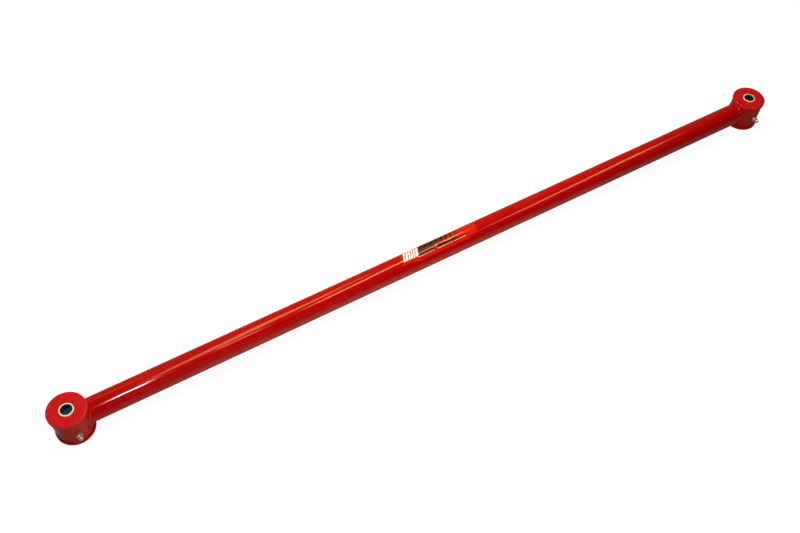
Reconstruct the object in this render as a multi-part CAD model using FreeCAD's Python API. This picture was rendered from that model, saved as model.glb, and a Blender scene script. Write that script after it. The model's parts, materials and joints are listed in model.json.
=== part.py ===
"""Track bar for a live rear axle: a straight steel tube with a greaseable
bushed eye welded across each end.

Each eye is a short steel shell. Two flanged polyurethane bushing halves are pushed into
it from above and below, and a plated steel inner sleeve, which the mounting bolt clamps,
turns in them. A grease fitting with a spring-loaded check ball is screwed into the shell.

Frame, in millimetres: the origin is the centre of the left eye's bore, +X runs along the
bar to the right eye, +Z is up along both eye axes, and the grease fittings point to -Y.
"""

import FreeCAD, Part
import math
import os

# Driving dimensions, in millimetres.
EYE_SPACING = 1110.0
INCH = 25.4

TUBE_RADIUS = 1.25 * INCH / 2
TUBE_WALL = 0.120 * INCH

SHELL_RADIUS = 23.25
SHELL_WALL = 3.25
SHELL_HEIGHT = 39.0
SHELL_CHAMFER = 0.5
WELD_LEG = 3.1

FLANGE_RADIUS = 24.75
FLANGE_THICKNESS = 4.1
FLANGE_RIM_ROUND = 1.2
BUSHING_SPLIT = 2.4
GREASE_CHANNEL = 4.0
BORE_GROOVE_RADIUS = 0.9
BORE_GROOVES = 6
BORE_GROOVE_STOP = 5.0
BORE_LEAD_IN = 0.5

SLEEVE_RADIUS = 9.2
SLEEVE_BORE_RADIUS = 0.5625 * INCH / 2
SLEEVE_PROUD = 0.2
SLEEVE_CHAMFER = 0.25
RUNNING_CLEARANCE = 0.04

# Grease fitting. It sits below the bar's axis and a little towards the bar, and its heights are
# measured outwards along its own axis from the plane of the eye axes.
FITTING_DROP = 1.7
FITTING_OFFSET = 1.35
THREAD_RADIUS = 0.25 * INCH / 2
THREAD_PITCH = INCH / 28
THREAD_DEPTH = 0.55
SHANK_START = 20.15
HEX_SEAT = SHELL_RADIUS + 0.05
HEX_HEIGHT = 3.4
HEX_ACROSS_FLATS = 0.3125 * INCH
NECK_RADIUS = 2.45
NECK_LENGTH = 0.7
HEAD_RADIUS = 3.25
HEAD_TIP_RADIUS = 1.6
CHANNEL_RADIUS = 1.25
ORIFICE_RADIUS = 0.75
ORIFICE_LENGTH = 0.7
CRIMP_RADIUS = 0.8
CRIMP_LENGTH = 0.5
BALL_RADIUS = 1.1
BALL_SEAT_GAP = 0.03
SPRING_COIL_RADIUS = 0.93
SPRING_WIRE_RADIUS = 0.15
SPRING_TURNS = 9
SPRING_END_GAP = 0.04

# Decal on the tube's upper front, as (x, y) corners seen from above.
DECAL_THICKNESS = 0.12
DECAL_CORNER_ROUND = 1.1
DECAL_START = 464.0
DECAL_LENGTH = 128.0
DECAL_BACK_Y = 11.2
DECAL_FRONT_Y = -8.7
DECAL_TAB_Y = -11.1
DECAL_TAB_INSET = 18.0
DECAL_SLANT = 5.0

# Sizes worked out from the driving dimensions.
SHELL_BORE_RADIUS = SHELL_RADIUS - SHELL_WALL
EYE_HALF_HEIGHT = SHELL_HEIGHT / 2 + FLANGE_THICKNESS
SLEEVE_HALF_LENGTH = EYE_HALF_HEIGHT + SLEEVE_PROUD
HEX_TOP = HEX_SEAT + HEX_HEIGHT
HEAD_CENTRE = HEX_TOP + NECK_LENGTH + math.sqrt(HEAD_RADIUS ** 2 - NECK_RADIUS ** 2)
FITTING_TIP = HEAD_CENTRE + math.sqrt(HEAD_RADIUS ** 2 - HEAD_TIP_RADIUS ** 2)
SEAT_END = FITTING_TIP - ORIFICE_LENGTH
SEAT_START = SEAT_END - (CHANNEL_RADIUS - ORIFICE_RADIUS)
CRIMP_END = SHANK_START + CRIMP_LENGTH

X_AXIS = FreeCAD.Vector(1, 0, 0)
Y_AXIS = FreeCAD.Vector(0, 1, 0)
Z_AXIS = FreeCAD.Vector(0, 0, 1)
FULL_TURN = 360.0


def eye_centre(side):
    """Centre of one eye's bore."""
    return FreeCAD.Vector(0 if side == "left" else EYE_SPACING, 0, 0)


def towards_bar(side):
    """Direction from an eye along the bar."""
    return X_AXIS if side == "left" else -X_AXIS


def upright_cylinder(radius, half_height):
    """Cylinder about Z, centred on the origin."""
    return Part.makeCylinder(radius, 2 * half_height, -Z_AXIS * half_height, Z_AXIS)


def lathe(profile):
    """Solid turned about Z from (radius, height) corners."""
    corners = [FreeCAD.Vector(radius, 0, height) for radius, height in profile]
    outline = Part.makePolygon(corners + corners[:1])
    return Part.Face(outline).revolve(FreeCAD.Vector(), Z_AXIS, FULL_TURN)


def circular_edges(solid, radius, height):
    """Edges of a turned solid that are circles about Z of one radius at one height."""
    found = []
    for edge in solid.Edges:
        curve = edge.Curve
        if not isinstance(curve, Part.Circle):
            continue
        if abs(curve.Radius - radius) < 1e-6 and abs(curve.Center.z - height) < 1e-6:
            found.append(edge)
    return found


def on_fitting_axis(solid, side):
    """Moves a solid built along +Z to the grease fitting's axis, pointing to -Y."""
    base = eye_centre(side) + towards_bar(side) * FITTING_OFFSET - Z_AXIS * FITTING_DROP
    moved = solid.copy()
    moved.Placement = FreeCAD.Placement(base, FreeCAD.Rotation(Z_AXIS, -Y_AXIS)) * solid.Placement
    return moved


def bar_tube():
    """Drawn-over-mandrel tube, coped at both ends to sit on the shells."""
    outer = Part.makeCylinder(TUBE_RADIUS, EYE_SPACING, FreeCAD.Vector(), X_AXIS)
    inner = Part.makeCylinder(TUBE_RADIUS - TUBE_WALL, EYE_SPACING, FreeCAD.Vector(), X_AXIS)
    tube = outer.cut(inner)
    for side in ("left", "right"):
        cope = upright_cylinder(SHELL_RADIUS, SHELL_HEIGHT)
        cope.translate(eye_centre(side))
        tube = tube.cut(cope)
    return tube


def eye_shell(side):
    """Outer tube of an eye, with the tapped hole for its grease fitting."""
    half = SHELL_HEIGHT / 2
    shell = upright_cylinder(SHELL_RADIUS, half).cut(upright_cylinder(SHELL_BORE_RADIUS, half))
    rims = []
    for radius in (SHELL_RADIUS, SHELL_BORE_RADIUS):
        for height in (-half, half):
            rims += circular_edges(shell, radius, height)
    shell = shell.makeChamfer(SHELL_CHAMFER, rims)
    shell.translate(eye_centre(side))
    hole = Part.makeCylinder(THREAD_RADIUS, SHELL_WALL * 3, Z_AXIS * (SHELL_BORE_RADIUS - SHELL_WALL))
    return shell.cut(on_fitting_axis(hole, side))


def weld_bead(side):
    """Fillet weld round the saddle where the tube meets a shell."""
    reach = 2 * SHELL_RADIUS
    shell = upright_cylinder(SHELL_RADIUS, SHELL_HEIGHT)
    tube = Part.makeCylinder(TUBE_RADIUS, reach, FreeCAD.Vector(), towards_bar(side))
    joined = shell.fuse(tube)
    saddle = [edge for edge in joined.Edges if isinstance(edge.Curve, Part.BSplineCurve)]
    bead = joined.makeChamfer(WELD_LEG, saddle).cut(shell).cut(tube)
    bead.translate(eye_centre(side))
    return bead


def bushing_half(side, upper):
    """Flanged polyurethane half, with grease grooves in its bore and a chamfer that
    forms half of the grease channel at the split."""
    bore = SLEEVE_RADIUS + RUNNING_CLEARANCE
    inner_end = BUSHING_SPLIT / 2
    profile = [
        (bore, inner_end),
        (SHELL_BORE_RADIUS - GREASE_CHANNEL, inner_end),
        (SHELL_BORE_RADIUS, inner_end + GREASE_CHANNEL),
        (SHELL_BORE_RADIUS, SHELL_HEIGHT / 2),
        (FLANGE_RADIUS, SHELL_HEIGHT / 2),
        (FLANGE_RADIUS, EYE_HALF_HEIGHT),
        (bore + BORE_LEAD_IN, EYE_HALF_HEIGHT),
        (bore, EYE_HALF_HEIGHT - BORE_LEAD_IN),
    ]
    half = lathe(profile)
    half = half.makeFillet(FLANGE_RIM_ROUND, circular_edges(half, FLANGE_RADIUS, EYE_HALF_HEIGHT))
    groove_length = EYE_HALF_HEIGHT - BORE_GROOVE_STOP
    for number in range(BORE_GROOVES):
        angle = 2 * math.pi * (number + 0.5) / BORE_GROOVES
        at = FreeCAD.Vector(bore * math.cos(angle), bore * math.sin(angle), 0)
        half = half.cut(Part.makeCylinder(BORE_GROOVE_RADIUS, groove_length, at, Z_AXIS))
    if not upper:
        half.rotate(FreeCAD.Vector(), X_AXIS, FULL_TURN / 2)
    half.translate(eye_centre(side))
    return half


def inner_sleeve(side):
    """Plated steel sleeve that the mounting bolt clamps in its bracket."""
    half = SLEEVE_HALF_LENGTH
    sleeve = upright_cylinder(SLEEVE_RADIUS, half).cut(upright_cylinder(SLEEVE_BORE_RADIUS, half))
    ends = []
    for radius in (SLEEVE_RADIUS, SLEEVE_BORE_RADIUS):
        for height in (-half, half):
            ends += circular_edges(sleeve, radius, height)
    sleeve = sleeve.makeChamfer(SLEEVE_CHAMFER, ends)
    sleeve.translate(eye_centre(side))
    return sleeve


def hexagon():
    """Hexagonal collar of the grease fitting, one corner up, its outer corners chamfered."""
    corner_radius = HEX_ACROSS_FLATS / math.sqrt(3)
    corners = []
    for number in range(6):
        angle = math.pi * (number + 0.5) / 3
        x, y = corner_radius * math.cos(angle), corner_radius * math.sin(angle)
        corners.append(FreeCAD.Vector(x, y, HEX_SEAT))
    outline = Part.makePolygon(corners + corners[:1])
    prism = Part.Face(outline).extrude(Z_AXIS * HEX_HEIGHT)
    flat_radius = HEX_ACROSS_FLATS / 2
    turned = lathe([
        (0, HEX_SEAT),
        (corner_radius, HEX_SEAT),
        (corner_radius, HEX_TOP - (corner_radius - flat_radius)),
        (flat_radius, HEX_TOP),
        (0, HEX_TOP),
    ])
    return prism.common(turned)


def thread_profile():
    """Corners of the shank's outside, its thread drawn as separate rings."""
    corners = [(THREAD_RADIUS - THREAD_DEPTH, SHANK_START)]
    turns = int((HEX_SEAT - SHANK_START) / THREAD_PITCH)
    for number in range(turns):
        root = SHANK_START + number * THREAD_PITCH
        corners.append((THREAD_RADIUS, root + THREAD_PITCH * 0.45))
        corners.append((THREAD_RADIUS, root + THREAD_PITCH * 0.55))
        corners.append((THREAD_RADIUS - THREAD_DEPTH, root + THREAD_PITCH))
    corners.append((THREAD_RADIUS - THREAD_DEPTH, HEX_SEAT))
    return corners


def grease_fitting(side):
    """Straight fitting: threaded shank, hexagon, neck and the round head a gun snaps onto."""
    outside = [(0, SHANK_START)] + thread_profile() + [
        (NECK_RADIUS, HEX_SEAT),
        (NECK_RADIUS, HEAD_CENTRE),
        (0, HEAD_CENTRE),
    ]
    passage = [
        (0, SHANK_START - 1),
        (CRIMP_RADIUS, SHANK_START - 1),
        (CRIMP_RADIUS, CRIMP_END),
        (CHANNEL_RADIUS, CRIMP_END),
        (CHANNEL_RADIUS, SEAT_START),
        (ORIFICE_RADIUS, SEAT_END),
        (ORIFICE_RADIUS, FITTING_TIP + 1),
        (0, FITTING_TIP + 1),
    ]
    head = Part.makeSphere(HEAD_RADIUS, Z_AXIS * HEAD_CENTRE)
    head = head.common(Part.makeCylinder(HEAD_RADIUS * 2, FITTING_TIP))
    body = lathe(outside).fuse([hexagon(), head]).cut(lathe(passage))
    return on_fitting_axis(body.removeSplitter(), side)


def ball_centre():
    """How far out along the fitting the check ball sits when it closes the orifice."""
    cone_tip = SEAT_END + ORIFICE_RADIUS
    return cone_tip - (BALL_RADIUS + BALL_SEAT_GAP) * math.sqrt(2)


def check_ball(side):
    """Ball that the spring holds against the fitting's orifice."""
    ball = Part.makeSphere(BALL_RADIUS)
    ball.translate(Z_AXIS * ball_centre())
    return on_fitting_axis(ball, side)


def check_spring(side):
    """Coil spring between the crimped end of the fitting and the ball."""
    shoulder = math.sqrt((BALL_RADIUS + SPRING_WIRE_RADIUS) ** 2 - SPRING_COIL_RADIUS ** 2)
    bottom = CRIMP_END + SPRING_WIRE_RADIUS + SPRING_END_GAP
    top = ball_centre() - shoulder - SPRING_END_GAP
    pitch = (top - bottom) / SPRING_TURNS
    coil = Part.makeHelix(pitch, top - bottom, SPRING_COIL_RADIUS)
    start = FreeCAD.Vector(SPRING_COIL_RADIUS, 0, 0)
    wire = Part.Wire(Part.makeCircle(SPRING_WIRE_RADIUS, start, Y_AXIS))
    spring = Part.Wire(coil).makePipeShell([wire], True, True)
    spring.translate(Z_AXIS * bottom)
    return on_fitting_axis(spring, side)


def decal_film():
    """Printed film laid on the tube: its outline seen from above, wrapped on the tube."""
    end = DECAL_START + DECAL_LENGTH
    outline = [
        (DECAL_START, DECAL_FRONT_Y),
        (DECAL_START + DECAL_SLANT, DECAL_BACK_Y),
        (end, DECAL_BACK_Y),
        (end - DECAL_SLANT, DECAL_FRONT_Y),
        (end - DECAL_TAB_INSET, DECAL_FRONT_Y),
        (end - DECAL_TAB_INSET, DECAL_TAB_Y),
        (DECAL_START + DECAL_TAB_INSET, DECAL_TAB_Y),
        (DECAL_START + DECAL_TAB_INSET, DECAL_FRONT_Y),
    ]
    corners = [FreeCAD.Vector(x, y, 0) for x, y in outline]
    cutter = Part.Face(Part.makePolygon(corners + corners[:1])).extrude(Z_AXIS * TUBE_RADIUS * 2)
    upright = [edge for edge in cutter.Edges if abs(edge.Length - TUBE_RADIUS * 2) < 1e-6]
    cutter = cutter.makeFillet(DECAL_CORNER_ROUND, upright)
    start = FreeCAD.Vector(DECAL_START - DECAL_SLANT, 0, 0)
    length = DECAL_LENGTH + 2 * DECAL_SLANT
    outer = Part.makeCylinder(TUBE_RADIUS + DECAL_THICKNESS, length, start, X_AXIS)
    inner = Part.makeCylinder(TUBE_RADIUS, length, start, X_AXIS)
    return outer.cut(inner).common(cutter)


def build():
    """Every separate piece of the bar, by node name."""
    pieces = {"bar_tube": bar_tube(), "decal_film": decal_film()}
    for side in ("left", "right"):
        pieces[side + "_eye_shell"] = eye_shell(side)
        pieces[side + "_weld_bead"] = weld_bead(side)
        pieces[side + "_upper_bushing"] = bushing_half(side, upper=True)
        pieces[side + "_lower_bushing"] = bushing_half(side, upper=False)
        pieces[side + "_inner_sleeve"] = inner_sleeve(side)
        pieces[side + "_grease_fitting"] = grease_fitting(side)
        pieces[side + "_check_ball"] = check_ball(side)
        pieces[side + "_check_spring"] = check_spring(side)
    return pieces


def main():
    os.makedirs("parts", exist_ok=True)
    for name, solid in build().items():
        sound = solid.isValid() and len(solid.Solids) == 1 and solid.Volume > 0
        print(f"{name:22} {solid.Volume:12.2f} mm3  {'sound' if sound else 'NOT SOUND'}")
        solid.exportStep(f"parts/{name}.step")


main()
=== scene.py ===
"""Looks of the track bar: a gloss red powder-coated tube with a polyurethane-bushed eye at each
end, a grease fitting in each eye and a printed film on the tube, on a plain pale floor.

Everything is in metres, in the frame of the CAD model: the origin is the centre of the left eye's
bore, +X runs along the bar to the right eye, and +Z is up along both eye axes. Places come from the
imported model's boxes. An angle round the tube is measured from straight up towards the front (-Y).
"""

import json
import math

import bmesh
import bpy
from mathutils import Matrix, Vector

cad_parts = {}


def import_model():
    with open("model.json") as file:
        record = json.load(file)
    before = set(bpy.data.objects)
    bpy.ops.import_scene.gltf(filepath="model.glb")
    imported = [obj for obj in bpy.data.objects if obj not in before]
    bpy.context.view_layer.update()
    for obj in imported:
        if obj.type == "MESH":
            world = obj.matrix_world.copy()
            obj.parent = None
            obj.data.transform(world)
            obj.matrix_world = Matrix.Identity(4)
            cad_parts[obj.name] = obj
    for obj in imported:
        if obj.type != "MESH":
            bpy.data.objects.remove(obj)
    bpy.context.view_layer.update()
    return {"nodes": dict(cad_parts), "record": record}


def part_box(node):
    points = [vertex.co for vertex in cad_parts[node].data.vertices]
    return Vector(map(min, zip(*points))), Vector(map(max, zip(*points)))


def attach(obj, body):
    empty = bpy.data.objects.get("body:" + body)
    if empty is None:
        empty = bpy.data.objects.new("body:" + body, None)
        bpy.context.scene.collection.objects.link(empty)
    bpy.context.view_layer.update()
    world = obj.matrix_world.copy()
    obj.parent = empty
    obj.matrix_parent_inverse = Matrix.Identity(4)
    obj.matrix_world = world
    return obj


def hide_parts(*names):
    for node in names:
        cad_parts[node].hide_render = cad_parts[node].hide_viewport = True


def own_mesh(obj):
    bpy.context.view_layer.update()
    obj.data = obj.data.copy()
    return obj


MM = 0.001
SIDES = ("left", "right")
UP = Vector((0, 0, 1))
ALONG_BAR = Vector((1, 0, 0))

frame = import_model()
nodes = frame["nodes"]


def middle(node):
    """Centre of a CAD node's box."""
    low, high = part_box(node)
    return (low + high) / 2


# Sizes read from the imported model.
EYE = {side: middle(side + "_eye_shell") for side in SIDES}
EYE_SPACING = EYE["right"].x - EYE["left"].x
TUBE_RADIUS = (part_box("bar_tube")[1].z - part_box("bar_tube")[0].z) / 2
SHELL_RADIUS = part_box("left_eye_shell")[1].y
FILM_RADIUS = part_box("decal_film")[1].z


# Materials ---------------------------------------------------------------------------------------

class Surface:
    """A material under construction: a Principled shader and short calls that add nodes to it."""

    def __init__(self, name, **sockets):
        self.material = bpy.data.materials.new(name)
        self.material.use_nodes = True
        self.tree = self.material.node_tree
        self.shader = self.tree.nodes["Principled BSDF"]
        for socket, value in sockets.items():
            self.shader.inputs[socket.replace("_", " ")].default_value = value

    def node(self, kind, *inputs, **settings):
        """Adds a node, with its inputs in order: a value, a socket or None."""
        made = self.tree.nodes.new(kind)
        for name, value in settings.items():
            setattr(made, name, value)
        for socket, value in zip(made.inputs, inputs):
            self.feed(socket, value)
        return made

    def feed(self, socket, value):
        if isinstance(value, bpy.types.NodeSocket):
            self.tree.links.new(value, socket)
        elif value is not None:
            socket.default_value = value

    def place(self):
        """The point on the piece, in the frame of the CAD model."""
        return self.node("ShaderNodeTexCoord").outputs["Object"]

    def math(self, operation, a, b=None, c=None):
        """One operation on up to three inputs, each a value or a socket."""
        return self.node("ShaderNodeMath", a, b, c, operation=operation).outputs[0]

    def noise(self, size, detail=2.0, roughness=0.5):
        """Noise from 0 to 1 whose features are about size metres across."""
        made = self.node("ShaderNodeTexNoise")
        self.feed(made.inputs["Vector"], self.place())
        made.inputs["Scale"].default_value = 1 / size
        made.inputs["Detail"].default_value = detail
        made.inputs["Roughness"].default_value = roughness
        return made.outputs["Fac"]

    def ramp(self, value, *stops):
        """Colour ramp through (position, colour) stops."""
        made = self.node("ShaderNodeValToRGB", value)
        band = made.color_ramp.elements
        while len(band) < len(stops):
            band.new(0.5)
        for element, (position, colour) in zip(band, stops):
            element.position = position
            element.color = (*colour, 1)
        return made.outputs["Color"]

    def span(self, value, low, high, start=0.0, end=1.0):
        """Maps value from the span start to end onto the span low to high, and no further."""
        made = self.node("ShaderNodeMapRange", value, start, end, low, high)
        return made.outputs["Result"]

    def mix(self, share, a, b):
        """Colour a where share is 0 and colour b where it is 1."""
        made = self.node("ShaderNodeMix", data_type="RGBA")
        self.feed(made.inputs["Factor"], share)
        colours = [s for s in made.inputs if s.type == "RGBA"]
        for socket, value in zip(colours, (a, b)):
            self.feed(socket, value if isinstance(value, bpy.types.NodeSocket) else (*value, 1))
        return [s for s in made.outputs if s.type == "RGBA"][0]

    def bump(self, height, depth, below=None):
        """Relief of height 0 to 1 that is depth metres deep, on top of the relief below."""
        made = self.node("ShaderNodeBump")
        made.inputs["Strength"].default_value = 1.0
        made.inputs["Distance"].default_value = depth
        self.feed(made.inputs["Height"], height)
        if below is not None:
            self.feed(made.inputs["Normal"], below)
        return made.outputs["Normal"]

    def eye_radius(self):
        """Distance from the nearer eye's axis."""
        x, y, _ = self.node("ShaderNodeSeparateXYZ", self.place()).outputs
        half = EYE_SPACING / 2
        along = self.math("WRAP", x, half, -half)
        return self.math("SQRT", self.math("ADD", self.math("MULTIPLY", along, along),
                                           self.math("MULTIPLY", y, y)))

    def waves(self, value, pitch):
        """Sine from 0 to 1 that repeats each time the value grows by the pitch."""
        wave = self.math("SINE", self.math("MULTIPLY", value, 2 * math.pi / pitch))
        return self.span(wave, 0, 1, -1, 1)

    def finish(self, colour, roughness, normal=None):
        """Feeds the shader and hands over the finished material."""
        self.feed(self.shader.inputs["Base Color"], colour)
        self.feed(self.shader.inputs["Roughness"], roughness)
        self.feed(self.shader.inputs["Normal"], normal)
        return self.material


def powder_coat():
    """Gloss red powder coat: fine orange peel, and a colour that drifts a little."""
    s = Surface("powder_coat_red")
    drift = s.noise(60 * MM, detail=3)
    grain = s.noise(0.9 * MM, detail=2)
    colour = s.ramp(drift, (0.3, (0.322, 0.0007, 0.0006)), (0.7, (0.357, 0.0010, 0.0007)))
    colour = s.mix(s.span(grain, 0.0, 0.10), colour, (0.22, 0.0006, 0.0006))
    peel = s.bump(s.noise(2.6 * MM, detail=1), 0.003 * MM)
    fine = s.bump(grain, 0.0008 * MM, below=peel)
    return s.finish(colour, s.span(drift, 0.067, 0.087), fine)


def polyurethane():
    """Satin moulded polyurethane, with faint rings from the turned mould on its faces."""
    s = Surface("polyurethane_red", Specular_IOR_Level=0.28)
    cloud = s.noise(7 * MM, detail=4, roughness=0.6)
    speck = s.noise(0.55 * MM, detail=2)
    colour = s.ramp(cloud, (0.30, (0.426, 0.0043, 0.0054)), (0.70, (0.474, 0.0056, 0.0070)))
    colour = s.mix(s.span(speck, 0.0, 0.22, 0.35, 0.75), colour, (0.36, 0.002, 0.003))
    turned = s.bump(s.waves(s.eye_radius(), 0.45 * MM), 0.004 * MM)
    grained = s.bump(speck, 0.012 * MM, below=turned)
    return s.finish(colour, s.span(cloud, 0.16, 0.22), grained)


def zinc_plate():
    """Yellow zinc plate: iridescent clouding and turned ends. The bore's colour is painted light:
    painted shade towards each mouth, and a painted bluish reflection deep inside."""
    s = Surface("zinc_plated_steel", Metallic=0.4)
    cloud = s.noise(3.5 * MM, detail=3)
    straw, gold, pink = (0.86, 0.76, 0.46), (0.95, 0.86, 0.58), (0.90, 0.70, 0.52)
    colour = s.ramp(cloud, (0.30, straw), (0.50, gold), (0.70, pink))
    _, _, z = s.node("ShaderNodeSeparateXYZ", s.place()).outputs
    towards_mouth = s.span(s.math("ABSOLUTE", z), 0, 1, 3 * MM, 21 * MM)
    # Painted light in the bore: painted shade towards each mouth and a painted bluish reflection deeper
    # in.
    pale_blue, blue, painted_shade_near_mouth = (0.50, 0.90, 1.0), (0.24, 0.58, 0.78), (0.014, 0.040, 0.040)
    bore = s.ramp(towards_mouth, (0.0, pale_blue), (0.38, blue), (0.70, painted_shade_near_mouth))
    radius, bore_edge, plate_edge = s.eye_radius(), 7.45 * MM, 7.60 * MM
    colour = s.mix(s.span(radius, 1, 0, bore_edge, plate_edge), colour, bore)
    turned = s.bump(s.waves(radius, 0.16 * MM), 0.003 * MM)
    pitted = s.bump(s.noise(0.4 * MM), 0.004 * MM, below=turned)
    return s.finish(colour, s.span(cloud, 0.30, 0.42), pitted)


def fitting_plate():
    """Bright zinc plate on the grease fittings, a little yellow, with fine tool marks."""
    s = Surface("fitting_steel", Metallic=0.9)
    cloud = s.noise(1.8 * MM, detail=3)
    colour = s.ramp(cloud, (0.35, (0.58, 0.60, 0.42)), (0.65, (0.84, 0.86, 0.70)))
    marks = s.bump(s.noise(0.25 * MM, detail=3), 0.005 * MM)
    return s.finish(colour, s.span(cloud, 0.20, 0.30), marks)


def ball_steel():
    """Polished bearing steel."""
    s = Surface("ball_steel", Metallic=1.0)
    cloud = s.noise(0.6 * MM)
    colour = s.ramp(cloud, (0.3, (0.76, 0.77, 0.79)), (0.7, (0.84, 0.84, 0.85)))
    return s.finish(colour, s.span(cloud, 0.05, 0.10))


def spring_steel():
    """Drawn wire with fine marks."""
    s = Surface("spring_steel", Metallic=1.0)
    cloud = s.noise(0.3 * MM, detail=3)
    colour = s.ramp(cloud, (0.3, (0.42, 0.42, 0.43)), (0.7, (0.60, 0.60, 0.61)))
    return s.finish(colour, s.span(cloud, 0.25, 0.38), s.bump(cloud, 0.004 * MM))


def film(name, dark, light, roughness=(0.055, 0.080)):
    """Gloss printed film in one ink, with a faint print grain."""
    s = Surface(name, Specular_IOR_Level=0.45)
    grain = s.noise(0.5 * MM, detail=2)
    colour = s.ramp(grain, (0.3, dark), (0.7, light))
    drift = s.noise(9 * MM)
    return s.finish(colour, s.span(drift, *roughness), s.bump(s.noise(4 * MM), 0.005 * MM))


def floor_paper():
    """Matt white paper on a lit table, which keeps shadows on it faint."""
    s = Surface("floor_paper", Specular_IOR_Level=0.1, Emission_Strength=0.92)
    s.shader.inputs["Emission Color"].default_value = (1, 1, 1, 1)
    cloud = s.noise(0.5, detail=2)
    colour = s.ramp(cloud, (0.3, (0.13, 0.13, 0.13)), (0.7, (0.15, 0.15, 0.15)))
    return s.finish(colour, s.span(cloud, 0.75, 0.85))


MATERIALS = {
    "powder_coat_red": powder_coat(),
    "polyurethane_red": polyurethane(),
    "zinc_plated_steel": zinc_plate(),
    "fitting_steel": fitting_plate(),
    "ball_steel": ball_steel(),
    "spring_steel": spring_steel(),
    "decal_film": film("decal_film", (0.415, 0.008, 0.001), (0.450, 0.011, 0.0015)),
    "ink_white": film("ink_white", (0.60, 0.60, 0.54), (0.66, 0.66, 0.60), (0.10, 0.15)),
    "ink_black": film("ink_black", (0.006, 0.010, 0.004), (0.012, 0.018, 0.007)),
}


def dress(obj, material):
    """Gives an object one material."""
    if not obj.material_slots:
        obj.data.materials.append(None)
    for slot in obj.material_slots:
        slot.link = "DATA"
        slot.material = MATERIALS[material]


# Mesh pieces -------------------------------------------------------------------------------------

def piece(name, verts, faces, body, material, sharp_degrees=40):
    """A closed mesh that rides on a CAD body, smooth except across sharp edges."""
    mesh = bpy.data.meshes.new(name)
    mesh.from_pydata([tuple(v) for v in verts], [], faces)
    work = bmesh.new()
    work.from_mesh(mesh)
    bmesh.ops.recalc_face_normals(work, faces=work.faces)
    for edge in work.edges:
        edge.smooth = edge.calc_face_angle(0) < math.radians(sharp_degrees)
    for face in work.faces:
        face.smooth = True
    work.to_mesh(mesh)
    work.free()
    obj = bpy.data.objects.new(name, mesh)
    bpy.context.scene.collection.objects.link(obj)
    dress(obj, material)
    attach(obj, body)
    return obj


def ring_faces(rings, around, closed):
    """Quads between rings of the same number of points, closed round, and end to start if asked."""
    faces = []
    for ring in range(rings if closed else rings - 1):
        for step in range(around):
            a, b = ring * around, (ring + 1) % rings * around
            nxt = (step + 1) % around
            faces.append((a + step, a + nxt, b + nxt, b + step))
    return faces


def weld_section(turn):
    """Points across the weld at a turn round the tube, from the shell's toe to the tube's and then
    the root. The eye is at the origin, and the tube leaves it along +X."""
    leg, crown, root_depth, toe_depth = 3.4 * MM, 0.75 * MM, 0.5 * MM, 0.03 * MM
    ripples, ripple_depth, ripple_lag = 52, 0.10 * MM, 1.1
    across = 16
    y, z = TUBE_RADIUS * math.sin(turn), TUBE_RADIUS * math.cos(turn)
    x = math.sqrt(SHELL_RADIUS ** 2 - y ** 2)
    seam = Vector((x, y, z))
    tube_normal = Vector((0, y, z)).normalized()
    shell_normal = Vector((x, y, 0)).normalized()
    along = tube_normal.cross(shell_normal).normalized()
    on_tube = tube_normal.cross(along)
    on_shell = shell_normal.cross(along)
    on_tube *= 1 if on_tube.dot(shell_normal) > 0 else -1
    on_shell *= 1 if on_shell.dot(tube_normal) > 0 else -1
    out = (tube_normal + shell_normal).normalized()
    uneven = 1 + 0.05 * math.sin(3 * turn + 1) + 0.03 * math.sin(7 * turn)
    tube_toe = seam + on_tube * leg * uneven
    tube_toe.yz = tube_toe.yz.normalized() * (TUBE_RADIUS - toe_depth)
    shell_toe = seam + on_shell * leg * uneven
    shell_toe.xy = shell_toe.xy.normalized() * (SHELL_RADIUS - toe_depth)
    section = []
    for place in range(across):
        share = place / (across - 1)
        arch = 4 * share * (1 - share)
        # Each ripple is a shallow crescent: it lags in the middle of the bead.
        ripple = abs(math.sin((ripples * turn + ripple_lag * arch) / 2)) - 0.5
        rise = arch ** 0.8 * crown + ripple * ripple_depth * arch
        crowned = shell_toe.lerp(tube_toe, share) + out * rise
        # The coat fills both toes with a hollow that runs out smoothly.
        filled = shell_toe.lerp(seam, share).lerp(seam.lerp(tube_toe, share), share)
        section.append(filled.lerp(crowned, min(1.5 * arch, 1)))
    return section + [seam - out * root_depth]


def weld_bead(side):
    """Rippled fillet round the saddle where the tube meets a shell, crowned along its middle."""
    around = 416
    towards = 1 if side == "left" else -1
    sections = [weld_section(2 * math.pi * step / around) for step in range(around)]
    verts = [EYE[side] + Vector((towards * v.x, v.y, v.z)) for section in sections for v in section]
    bead = piece(side + "_weld_seam", verts, ring_faces(around, len(sections[0]), True), "bar",
                 "powder_coat_red", sharp_degrees=50)
    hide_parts(side + "_weld_bead")


def coil_line(centre, start_y, coil, wire, length):
    """Middle of the wire of a spring of that length, which runs from start_y towards -Y."""
    turns, end_turns, per_turn = 9, 1, 40
    closed_pitch = 2.1 * wire
    open_length = length - 2 * end_turns * closed_pitch
    line = []
    for step in range(turns * per_turn + 1):
        turn = step / per_turn
        # The coil closes up over its first and last turn.
        opened = min(max((turn - end_turns) / (turns - 2 * end_turns), 0), 1)
        closed_turns = min(turn, end_turns) + max(turn - turns + end_turns, 0)
        rise = closed_pitch * closed_turns + open_length * opened
        angle = 2 * math.pi * turn
        line.append(Vector((centre.x + coil * math.cos(angle), start_y - wire - rise,
                            centre.z + coil * math.sin(angle))))
    return line


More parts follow.
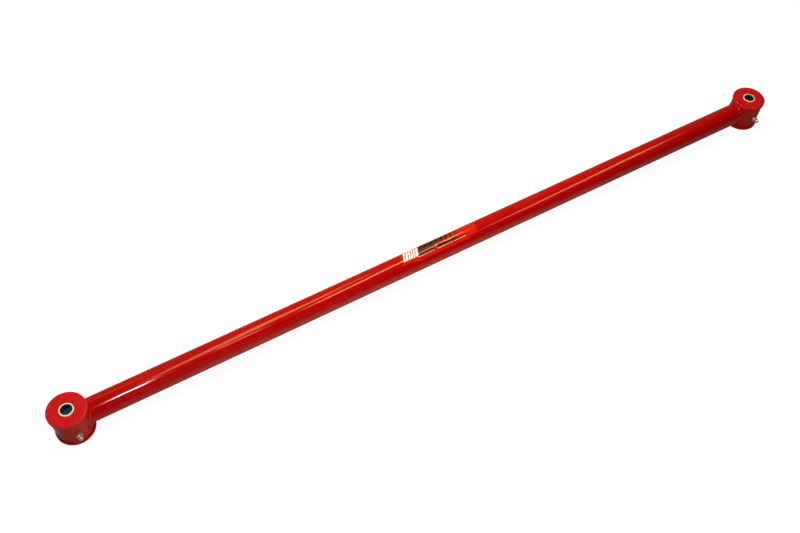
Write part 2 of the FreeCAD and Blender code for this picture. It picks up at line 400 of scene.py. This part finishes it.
def check_spring(side):
    """Coil spring with closed ends, in the place of the CAD spring, which it hides."""
    low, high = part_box(side + "_check_spring")
    centre = middle(side + "_check_spring")
    wire, travel, sides = 0.15 * MM, 0.8 * MM, 10
    line = coil_line(centre, high.y, (high.x - low.x) / 2 - wire, wire, high.y - low.y - 2 * wire)
    last = len(line) - 1
    verts = []
    for step, point in enumerate(line):
        ahead = (line[min(step + 1, last)] - line[max(step - 1, 0)]).normalized()
        outward = Vector((point.x - centre.x, 0, point.z - centre.z)).normalized()
        side_way = ahead.cross(outward).normalized()
        for number in range(sides):
            angle = 2 * math.pi * number / sides
            verts.append(point + wire * (outward * math.cos(angle) + side_way * math.sin(angle)))
    faces = ring_faces(len(line), sides, False)
    faces.append(tuple(range(sides)))
    faces.append(tuple(last * sides + number for number in range(sides)))
    spring = piece(side + "_valve_spring", verts, faces, "bar", "spring_steel")
    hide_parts(side + "_check_spring")
    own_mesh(spring)


# Print on the film -------------------------------------------------------------------------------

# Angles are in degrees round the tube, and the lean is along the bar for each degree.
INK_THICKNESS = 0.03 * MM
PRINT_START = 468 * MM
PRINT_TOP, PRINT_BOTTOM = -39, 18.5
PRINT_LEAN = -0.125 * MM
PATCH_ROW = 2


def printed(name, patches, material):
    """Ink on the film, leaning with height. Each patch is (start, end, top angle, bottom angle), and a
    fifth number is the top angle at its end."""
    verts, faces = [], []
    inside, outside = FILM_RADIUS, FILM_RADIUS + INK_THICKNESS
    for start, end, top, bottom, *slope in patches:
        end_top = slope[0] if slope else top
        rows = max(2, math.ceil((bottom - top) / PATCH_ROW) + 1)
        first = len(verts)
        for row in range(rows):
            share = row / (rows - 1)
            left, right = (angle + (bottom - angle) * share for angle in (top, end_top))
            for x, angle, radius in ((start, left, inside), (end, right, inside),
                                     (end, right, outside), (start, left, outside)):
                lean, turn = PRINT_LEAN * (angle - PRINT_BOTTOM), math.radians(angle)
                verts.append((x + lean, -radius * math.sin(turn), radius * math.cos(turn)))
        faces += [tuple(first + i for i in face) for face in ring_faces(rows, 4, False)]
        last = first + (rows - 1) * 4
        faces += [tuple(first + i for i in range(4)), tuple(last + i for i in range(4))]
    piece(name, verts, faces, "bar", material, sharp_degrees=30)


def decal_print():
    """Generic motorsport stripes: white bars, black bars that narrow to the right, two rows of
    chequers under them, a black flash that runs out to the right, and a pinstripe."""
    bar_gap = 1.2 * MM
    white_bars, x = [], PRINT_START
    for width in (3.2, 3.0, 2.5, 2.5, 2.5, 3.5):
        white_bars.append((x, x + width * MM, PRINT_TOP, PRINT_BOTTOM))
        x += width * MM + bar_gap
    printed("decal_white_bars", white_bars, "ink_white")

    black_start, pitch = x, 8.4 * MM
    bars_bottom, row_angle = -12, 5.5
    black_bars, chequers = [], []
    for number, width in enumerate((8.2, 8.1, 7.9, 7.6, 6.9, 5.6, 3.9, 2.2)):
        x = black_start + number * pitch
        black_bars.append((x, x + width * MM, PRINT_TOP, bars_bottom))
        square = width * MM / 4
        for row in (0, 1):
            top = bars_bottom + row * row_angle
            for column in (row, row + 2):
                start = x + column * square
                chequers.append((start, start + square, top, top + row_angle))
    printed("decal_black_bars", black_bars, "ink_black")
    printed("decal_chequers", chequers, "ink_black")

    flash_top = bars_bottom + 2 * row_angle
    low_top, last_top = 7, PRINT_BOTTOM - 1.5
    printed("decal_black_flash", [
        (black_start, black_start + 26 * MM, flash_top, PRINT_BOTTOM),
        (black_start + 29.5 * MM, black_start + 54 * MM, flash_top, PRINT_BOTTOM, low_top),
        (black_start + 54 * MM, black_start + 75 * MM, low_top, PRINT_BOTTOM, last_top),
    ], "ink_black")
    stripe_top, stripe_bottom = 23.3, 24.7
    dashes = [(PRINT_START + start * MM, PRINT_START + end * MM, stripe_top, stripe_bottom)
              for start, end in ((23, 49), (54, 79), (82, 101))]
    printed("decal_pinstripe", dashes, "ink_white")


# Stage -------------------------------------------------------------------------------------------

CAMERA_PLACE = Vector((0.0642, -0.6242, 1.0081))
CAMERA_AIM = Vector((0.46604, 0.00118, 0))
CAMERA_ROLL = math.radians(2.633)
CAMERA_LENS = 40.73
CEILING = 2.0


def placed(back, right, place):
    """Matrix for a thing at place with its local Z along back and its local X as near right as it can."""
    back = back.normalized()
    right = (right - back * right.dot(back)).normalized()
    return Matrix.Translation(place) @ Matrix((right, back.cross(right), back)).transposed().to_4x4()


def camera():
    """Camera that looks down at the bar from in front of its left end."""
    data = bpy.data.cameras.new("camera")
    data.sensor_width = 36
    data.lens = CAMERA_LENS
    data.clip_start = 0.05
    obj = bpy.data.objects.new("camera", data)
    bpy.context.scene.collection.objects.link(obj)
    back = (CAMERA_PLACE - CAMERA_AIM).normalized()
    level = UP.cross(back)
    right = Matrix.Rotation(CAMERA_ROLL, 3, back) @ level
    obj.matrix_world = placed(back, right, CAMERA_PLACE)
    bpy.context.scene.camera = obj


def board_paint():
    """Matt board with a painted pool of light: palest along the middle of the bar and darker away from
    it.
    """
    s = Surface("board", Specular_IOR_Level=0.1)
    palest_x, slope_along = 0.40, 0.15
    palest_until, darkest_from = 0.02, 0.52
    x, y, _ = s.node("ShaderNodeSeparateXYZ", s.place()).outputs
    along = s.math("ABSOLUTE", s.math("SUBTRACT", x, palest_x))
    away = s.math("MULTIPLY_ADD", along, slope_along, s.math("ABSOLUTE", y))
    # The board's colours are a painted pool of light, seen in the gloss and the bounce.
    near, middling, far = (0.46, 0.43, 0.34), (0.19, 0.18, 0.14), (0.10, 0.095, 0.075)
    share = s.span(away, 0, 1, palest_until, darkest_from)
    colour = s.ramp(share, (0.0, near), (0.26, middling), (1.0, far))
    return s.finish(colour, 0.8)


def stage_surface(name, height, rings, material):
    """Surface of the stage round the middle of the bar, through rings of (radius, rise)."""
    around = 96
    middle_x = EYE_SPACING / 2
    verts = []
    for radius, rise in rings:
        for step in range(around):
            turn = 2 * math.pi * step / around
            verts.append((middle_x + radius * math.cos(turn), radius * math.sin(turn), height + rise))
    mesh = bpy.data.meshes.new(name)
    mesh.from_pydata(verts, [], [tuple(range(around))] + ring_faces(len(rings), around, False))
    # The level middle stays flat; only the sweep round it is smooth.
    for face in mesh.polygons[1:]:
        face.use_smooth = True
    obj = bpy.data.objects.new(name, mesh)
    bpy.context.scene.collection.objects.link(obj)
    mesh.materials.append(material)
    return obj


def floor():
    """Plain pale floor that the sleeves' lower ends stand on, and that sweeps up far away. The gloss
    mirrors a dimmer board just under it, so that the red stays deep beside the white."""
    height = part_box("left_inner_sleeve")[0].z
    level_radius, board_drop = 12, 1 * MM
    sweep = ((level_radius, 0), (13.2, 0.25), (14.1, 0.9), (14.6, 1.9), (14.8, 3.2), (14.8, 9))
    white = stage_surface("floor", height, sweep, floor_paper())
    white.visible_glossy = False
    white.visible_diffuse = False
    white.visible_shadow = False
    board = stage_surface("board", height - board_drop, ((level_radius, 0),), board_paint())
    board.visible_camera = False


WHITE = (1.0, 0.99, 0.97)
STRIP_COLOUR = (1.0, 0.60, 0.26)
FLASH_COLOUR = (0.90, 0.86, 1.0)
SPARKLE_COLOUR = (1.0, 0.94, 0.86)


def area_light(name, place, aim, size, power, colour, length_way):
    """Rectangular light at place, facing aim, its first side along length_way."""
    data = bpy.data.lights.new(name, "AREA")
    data.shape = "RECTANGLE"
    data.size, data.size_y = size
    data.energy = power
    data.color = colour
    obj = bpy.data.objects.new(name, data)
    bpy.context.scene.collection.objects.link(obj)
    obj.matrix_world = placed(place - aim, length_way, place)
    obj.visible_camera = False
    return obj


def mirrored_light(name, place, aim, size, power, colour, length_way=ALONG_BAR):
    """Light that shows only as a reflection in the gloss."""
    obj = area_light(name, place, aim, size, power, colour, length_way)
    obj.visible_diffuse = False
    return obj


def soft_light(name, place, aim, size, power):
    """White light that brings out colours and is never mirrored."""
    obj = area_light(name, place, aim, size, power, WHITE, ALONG_BAR)
    obj.visible_glossy = False


def mirrored(x, angle, height):
    """The place at a height that the camera sees in the tube at x and an angle round it."""
    turn = math.radians(angle)
    normal = Vector((0, -math.sin(turn), math.cos(turn)))
    point = Vector((x, 0, 0)) + normal * TUBE_RADIUS
    sight = (point - CAMERA_PLACE).normalized()
    reflected = sight - normal * 2 * sight.dot(normal)
    return point + reflected * (height - point.z) / reflected.z


# Distances across and along the ceiling strips, from above the origin. They run nearly one way.
STRIP_WAY = Vector((0.487, 0.873, 0)).normalized()
STRIP_ACROSS = STRIP_WAY.cross(UP)


def strip_light(name, across, start, end, width, radiance, turned=0.0, shape="RECTANGLE"):
    """Ceiling strip of one radiance, turned by some degrees on the ceiling."""
    place = STRIP_ACROSS * across + STRIP_WAY * (start + end) / 2 + UP * CEILING
    length = end - start
    # An area light of radiance L sends out L * pi * area.
    area = length * width * (math.pi / 4 if shape == "ELLIPSE" else 1)
    way = Matrix.Rotation(math.radians(turned), 3, "Z") @ STRIP_WAY
    strip = mirrored_light(name, place, place - UP, (length, width), radiance * math.pi * area,
                           STRIP_COLOUR, length_way=way)
    strip.data.shape = shape


def lights():
    """Ceiling strips and small lamps for the streaks in the gloss, and soft white light."""
    strip_light("strip_back", across=0.215, start=-0.16, end=2.12, width=0.38, radiance=5.1,
                turned=3.5, shape="ELLIPSE")
    strip_light("strip_middle", across=0.825, start=-0.02, end=2.02, width=0.135, radiance=13.2,
                turned=4.5)
    strip_light("strip_right", across=1.94, start=-0.06, end=1.52, width=0.29, radiance=6.4, turned=3)
    strip_light("strip_far", across=-0.95, start=1.65, end=2.00, width=0.30, radiance=2.5)

    short = mirrored(x=0.225, angle=24, height=CEILING)
    mirrored_light("short", short, short - UP, size=(0.17, 0.07), power=1.3, colour=STRIP_COLOUR)
    left_part = Vector((0.3, 0, 0))
    flash = mirrored(x=0.074, angle=28.7, height=1.12)
    mirrored_light("flash", flash, left_part, size=(0.09, 0.04), power=2.5, colour=FLASH_COLOUR)
    # Mirrored past the bar's left end, so that only small round things show it.
    sparkle = Vector((-0.36, -0.58, 1.10))
    mirrored_light("sparkle", sparkle, left_part, size=(0.30, 0.30), power=5.0, colour=SPARKLE_COLOUR)

    dome, key, fill = Vector((0.35, 0.5, 2.4)), Vector((0.515, 0.34, 0.80)), Vector((0.37, -0.85, 0.26))
    soft_light("dome", dome, Vector((dome.x, dome.y, 0)), size=(6, 6), power=52)
    soft_light("key", key, Vector((key.x, 0, 0)), size=(0.8, 0.5), power=11.6)
    soft_light("fill", fill, Vector((fill.x, 0, 0)), size=(0.6, 0.4), power=5.8)


def world():
    """Dim warm room, lighter behind the bar than in front of it."""
    front, behind, behind_from = (0.018, 0.011, 0.007), (0.24, 0.15, 0.06), 0.9
    made = bpy.data.worlds.new("room")
    made.use_nodes = True
    tree = made.node_tree
    background = tree.nodes["Background"]
    way = tree.nodes.new("ShaderNodeTexCoord")
    parts = tree.nodes.new("ShaderNodeSeparateXYZ")
    ramp = tree.nodes.new("ShaderNodeValToRGB")
    tree.links.new(way.outputs["Generated"], parts.inputs[0])
    tree.links.new(parts.outputs["Y"], ramp.inputs["Fac"])
    tree.links.new(ramp.outputs["Color"], background.inputs["Color"])
    for element, position, colour in zip(ramp.color_ramp.elements, (0.0, behind_from), (front, behind)):
        element.position = position
        element.color = (*colour, 1)
    bpy.context.scene.world = made


# Making ------------------------------------------------------------------------------------------

camera()
floor()
lights()
world()

SLOT_OF = {entry["node"]: entry["material_slot"] for entry in frame["record"]["subparts"]}
for name, obj in nodes.items():
    dress(obj, SLOT_OF[name])

for side in SIDES:
    weld_bead(side)
    check_spring(side)
decal_print()

view = bpy.context.scene.view_settings
view.view_transform = "Standard"
view.look = "None"
